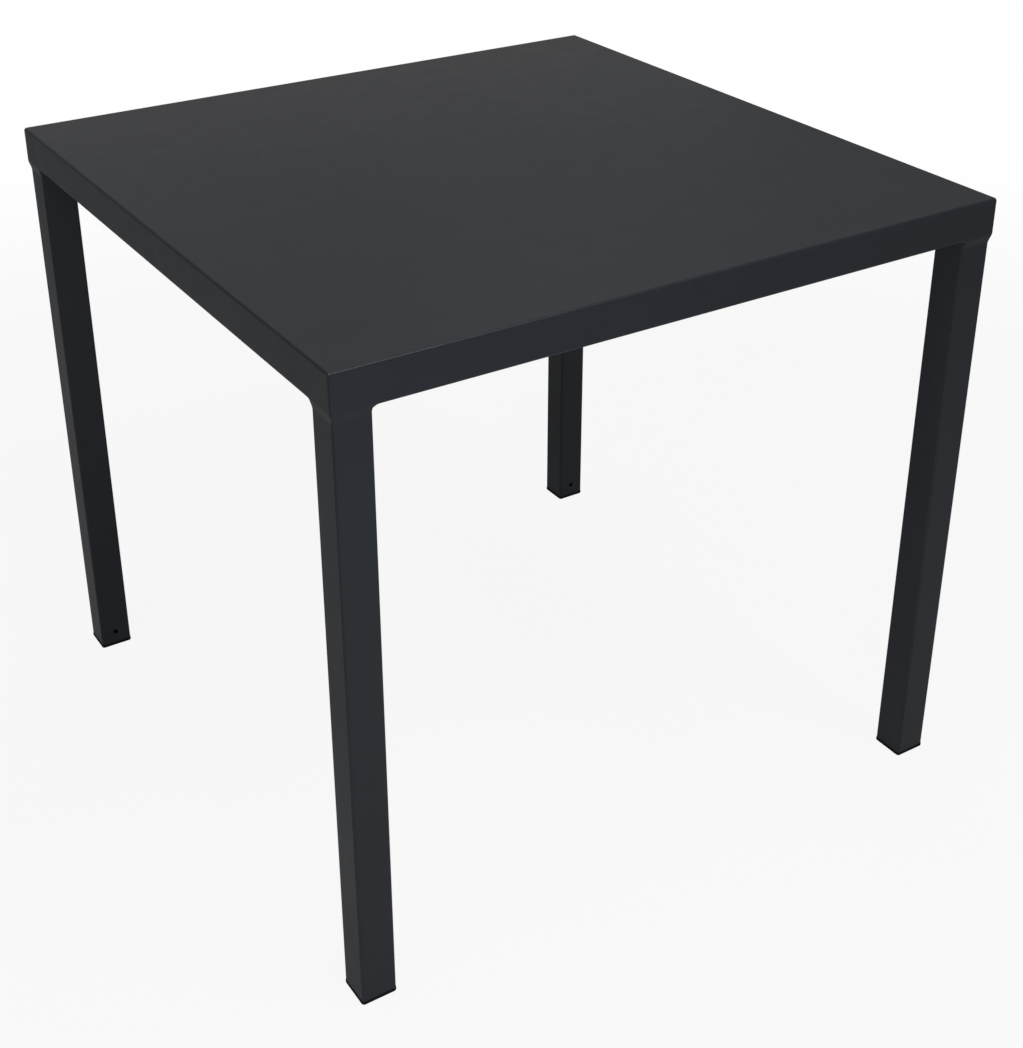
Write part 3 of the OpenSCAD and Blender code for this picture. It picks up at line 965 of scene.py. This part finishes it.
class TABLE_OT_ribs(bpy.types.Operator):
    """Build the hat-section ribs under the top"""

    bl_idname = "garden_table.ribs"
    bl_label = "Stiffening ribs"

    def execute(self, context):
        settings = context.scene.garden_table
        rib, tray = settings.rib, settings.tray
        under = tray.height - tray.sheet
        section = bpy.data.meshes.new("rib_section")
        outline = [(x, -rib.length / 2, under + z) for x, z in hat_outline(rib)]
        section.from_pydata(outline, [], [tuple(range(len(outline)))])
        wanted = {"Length": rib.length, "Spacing": rib.spacing, "Count": rib.count}
        ribs = grown("ribs", section, rib_tree(), {**wanted, "Material": powder_coat(settings.finish)})
        nodes = ["stiffening_rib_left", "stiffening_rib_right"]
        add_piece("stiffening_ribs", joined("ribs", [ribs]), "powder_coat", nodes, edge=0.2 * MM)
        return {"FINISHED"}


class TABLE_OT_gussets(bpy.types.Operator):
    """Build the corner gussets that lie on the lips"""

    bl_idname = "garden_table.gussets"
    bl_label = "Corner gussets"

    def execute(self, context):
        settings = context.scene.garden_table
        tray, leg = settings.tray, settings.leg
        near, reach = leg.inset + leg.side + tray.lip_gap, GUSSET_HIGH.x - TRAY_LOW.x
        edges = [(near, tray.bend), (reach, tray.bend), (reach, tray.lip)]
        outline = edges + [(v, u) for u, v in reversed(edges)] + [(near, near)]
        for corner in CORNERS:
            shape = bmesh.new()
            levels = (GUSSET_LOW.z, GUSSET_HIGH.z)
            loft(shape, [[from_corner(settings, corner, u, v, z) for u, v in outline] for z in levels])
            mesh, nodes = into_mesh(shape, f"gusset_{corner}"), [f"corner_gusset_{corner}"]
            add_piece(f"gusset_plate_{corner}", mesh, "powder_coat", nodes, edge=0.3 * MM, sharp=math.radians(40))
        return {"FINISHED"}


# Feet -----------------------------------------------------------------------------------------


def foot_rings(foot):
    """Outlines of the foot insert from its underside up, over the spigot and down into its hollow."""
    half, corner, top_edge = foot.side / 2, 3.5 * MM, 0.3 * MM
    flat, flat_corner = half - foot.edge, corner - foot.edge
    rings = []
    for turn in steps(0, math.pi / 2, 5):
        out = foot.edge * math.sin(turn)
        rings.append((flat + out, flat_corner + out, foot.edge - foot.edge * math.cos(turn)))
    for turn in steps(0, math.pi / 2, 3):
        back = top_edge - top_edge * math.cos(turn)
        rings.append((half - back, corner - back, foot.flange - top_edge + top_edge * math.sin(turn)))
    spigot, fin, hollow = foot.spigot / 2, foot.fin / 2, foot.spigot / 2 - foot.spigot_wall
    spigot_corner, fin_corner, hollow_corner = 2 * MM, 1.5 * MM, 0.4 * MM
    fin_spacing = (foot.height - foot.flange) / foot.fins
    fin_rings = (
        (spigot, spigot_corner, 0.0),
        (fin, fin_corner, 0.25 * MM),
        (fin, fin_corner, 0.8 * MM),
        (spigot, spigot_corner, 1 * MM),
    )
    rings.append((spigot, spigot_corner, foot.flange))
    for index in range(foot.fins):
        low = foot.flange + fin_spacing * (index + 0.5)
        rings += [(side, rounding, low + lift) for side, rounding, lift in fin_rings]
    rings.append((spigot, spigot_corner, foot.height))
    return rings + [(hollow, hollow_corner, height) for height in (foot.height, foot.flange)]


class TABLE_OT_feet(bpy.types.Operator):
    """Build the moulded foot inserts"""

    bl_idname = "garden_table.feet"
    bl_label = "Foot inserts"

    def execute(self, context):
        settings = context.scene.garden_table
        foot = settings.foot
        hollow, half_wall = foot.spigot / 2 - foot.spigot_wall, foot.cross_wall / 2
        for corner in CORNERS:
            x, y = leg_middle(settings, corner)
            outlines = [(soft_square(side, radius), height) for side, radius, height in foot_rings(foot)]
            shape = bmesh.new()
            loft(shape, [[(x + u, y + v, height) for u, v in outline] for outline, height in outlines])
            for half_x, half_y in ((hollow, half_wall), (half_wall, hollow)):
                wall = [(-half_x, -half_y), (half_x, -half_y), (half_x, half_y), (-half_x, half_y)]
                levels = (foot.flange, foot.height - foot.cross_wall)
                loft(shape, [[(x + u, y + v, height) for u, v in wall] for height in levels])
            mesh, nodes = into_mesh(shape, f"foot_{corner}"), [f"foot_insert_{corner}"]
            add_piece(f"moulded_foot_{corner}", mesh, "foot_plastic", nodes, sharp=math.radians(35))
        return {"FINISHED"}


# Studio ---------------------------------------------------------------------------------------


# Each lamp's name, its power's setting, its place, its size and whether the satin coat mirrors it
LAMPS = (
    ("front_lamp", "front", (0.77, -1.7, 3.17), 0.6, True),
    ("left_lamp", "left", (-1.75, -0.65, 2.93), 0.6, True),
    ("overhead_lamp", "over", (0.0, 0.0, 3.2), 2.0, True),
    ("back_lamp", "back", (0.0, 2.06, 2.95), 1.6, True),
    ("side_lamp", "side", (1.45, 1.45, 2.95), 1.6, True),
    ("low_lamp", "low", (-0.5, -1.6, 0.5), 0.6, False),
    ("near_lamp", "near", (-0.5, -1.1, 1.2), 0.4, False),
)
LAMP_TARGET = (0.0, 0.0, 0.5)
STRIP_PLACE, STRIP_TARGET, STRIP_SIZE = (1.0, 3.0, 1.1), (1.0, 0.0, 1.1), (4.0, 1.2)
WHITE = (1.0, 1.0, 1.0, 1.0)


def add_lamp(name, watts, place, target, size):
    """A square soft lamp that looks at a place and isn't seen itself."""
    data = bpy.data.lights.new(name, "AREA")
    data.shape = "SQUARE"
    data.size = size
    data.energy = watts
    lamp = put_in_scene(name, data)
    lamp.location = place
    lamp.rotation_euler = (Vector(target) - Vector(place)).to_track_quat("-Z", "Y").to_euler()
    lamp.visible_camera = False
    return lamp


def seen_background(tree, reflected):
    """How much of the white background a ray sees: all of it, or a share of it in a reflection."""
    path = add_node(tree, "ShaderNodeLightPath")
    seen = calc(tree, "MAXIMUM", path.outputs["Is Camera Ray"], path.outputs["Is Transmission Ray"])
    return calc(tree, "MAXIMUM", seen, calc(tree, "MULTIPLY", path.outputs["Is Glossy Ray"], reflected))


class TABLE_OT_studio(bpy.types.Operator):
    """Set up the plain floor, the soft lamps, the white background and the camera"""

    bl_idname = "garden_table.studio"
    bl_label = "Studio"

    def execute(self, context):
        scene, studio = context.scene, context.scene.garden_table.studio
        scene.view_settings.view_transform = "Standard"
        self.add_world(scene, studio)
        self.add_floor(studio)
        for name, setting, place, size, mirrored in LAMPS:
            add_lamp(name, getattr(studio, setting), place, LAMP_TARGET, size).visible_glossy = mirrored
        strip = add_lamp("strip_lamp", studio.strip, STRIP_PLACE, STRIP_TARGET, STRIP_SIZE[0])
        strip.data.shape = "RECTANGLE"
        strip.data.size_y = STRIP_SIZE[1]
        strip.data.color = studio.strip_colour
        self.add_camera(scene, studio)
        return {"FINISHED"}

    @staticmethod
    def add_world(scene, studio):
        """White where the camera sees it, and a weak even light on the table."""
        world = bpy.data.worlds.new("plain_light")
        world.use_nodes = True
        tree = world.node_tree
        tree.nodes.clear()
        levels = {"Value": seen_background(tree, studio.reflected), "To Min": studio.ambient, "To Max": 1.0}
        strength = add_node(tree, "ShaderNodeMapRange", levels).outputs[0]
        light = add_node(tree, "ShaderNodeBackground", {"Color": WHITE, "Strength": strength})
        add_node(tree, "ShaderNodeOutputWorld", {"Surface": light.outputs[0]})
        scene.world = world

    @staticmethod
    def add_floor(studio):
        """A round floor just under the feet. It fades out at its edge and can't be seen from below."""
        shape = bmesh.new()
        under_feet = Matrix.Translation((0.0, 0.0, -0.2 * MM))
        bmesh.ops.create_circle(shape, cap_ends=True, segments=96, radius=4.0, matrix=under_feet)
        floor = put_in_scene("floor", into_mesh(shape, "floor", recalculate=False))
        material, tree, place = new_material("floor")
        in_picture = add_node(tree, "ShaderNodeLightPath").outputs["Is Camera Ray"]
        seen = {"Color": mixed_colour(tree, in_picture, studio.floor, studio.floor_seen)}
        plain = add_node(tree, "ShaderNodeBsdfDiffuse", seen).outputs[0]
        white = add_node(tree, "ShaderNodeEmission", {"Color": WHITE, "Strength": 1.0}).outputs[0]
        whitened = calc(tree, "MULTIPLY", seen_background(tree, studio.reflected), studio.floor_white)
        pale = add_node(tree, "ShaderNodeMixShader", {0: whitened, 1: plain, 2: white}).outputs[0]
        distance = add_node(tree, "ShaderNodeVectorMath", {0: place}, operation="LENGTH").outputs["Value"]
        fade_from, fade_to = 1.2, 2.6
        edge = map_range(tree, distance, fade_from, fade_to, interpolation_type="SMOOTHSTEP")
        from_below = add_node(tree, "ShaderNodeNewGeometry").outputs["Backfacing"]
        gone = calc(tree, "MAXIMUM", edge, from_below)
        clear = add_node(tree, "ShaderNodeBsdfTransparent").outputs[0]
        faded = add_node(tree, "ShaderNodeMixShader", {0: gone, 1: pale, 2: clear}).outputs[0]
        add_node(tree, "ShaderNodeOutputMaterial", {"Surface": faded})
        floor.data.materials.append(material)

    @staticmethod
    def add_camera(scene, studio):
        """A camera at the photo's place."""
        data = bpy.data.cameras.new("camera")
        data.sensor_width = 36.0
        data.lens = studio.lens
        data.shift_y = studio.shift
        data.clip_start, data.clip_end = 0.05, 50.0
        camera = put_in_scene("camera", data)
        camera.location = studio.eye
        camera.rotation_euler = Euler((math.pi / 2 - studio.pitch, 0.0, studio.azimuth))
        scene.camera = camera


class TABLE_PT_panel(bpy.types.Panel):
    """The table's settings and buttons"""

    bl_idname = "TABLE_PT_panel"
    bl_label = "Garden table"
    bl_space_type = "VIEW_3D"
    bl_region_type = "UI"
    bl_category = "Garden table"

    def draw(self, context):
        settings = context.scene.garden_table
        for name in ("tray", "leg", "weld", "rib", "foot", "finish", "studio"):
            group = getattr(settings, name)
            box = self.layout.box()
            box.label(text=name.capitalize())
            for key in type(group).__annotations__:
                box.prop(group, key)
        for operator in OPERATORS:
            self.layout.operator(operator.bl_idname)


OPERATORS = (
    TABLE_OT_top,
    TABLE_OT_legs,
    TABLE_OT_leg_welds,
    TABLE_OT_stitch_welds,
    TABLE_OT_ribs,
    TABLE_OT_gussets,
    TABLE_OT_feet,
    TABLE_OT_studio,
)
GROUPS = (TraySizes, LegSizes, WeldSizes, RibSizes, FootSizes, Finish, Studio, TableSettings)
CLASSES = (*GROUPS, *OPERATORS, TABLE_PT_panel)


def register():
    for cls in CLASSES:
        bpy.utils.register_class(cls)
    bpy.types.Scene.garden_table = PointerProperty(type=TableSettings)


def unregister():
    del bpy.types.Scene.garden_table
    for cls in reversed(CLASSES):
        bpy.utils.unregister_class(cls)


def main():
    """Builds the whole table and its studio."""
    register()
    bpy.ops.garden_table.top()
    bpy.ops.garden_table.legs()
    bpy.ops.garden_table.leg_welds()
    bpy.ops.garden_table.stitch_welds()
    bpy.ops.garden_table.ribs()
    bpy.ops.garden_table.gussets()
    bpy.ops.garden_table.feet()
    bpy.ops.garden_table.studio()


if __name__ == "__main__":
    main()
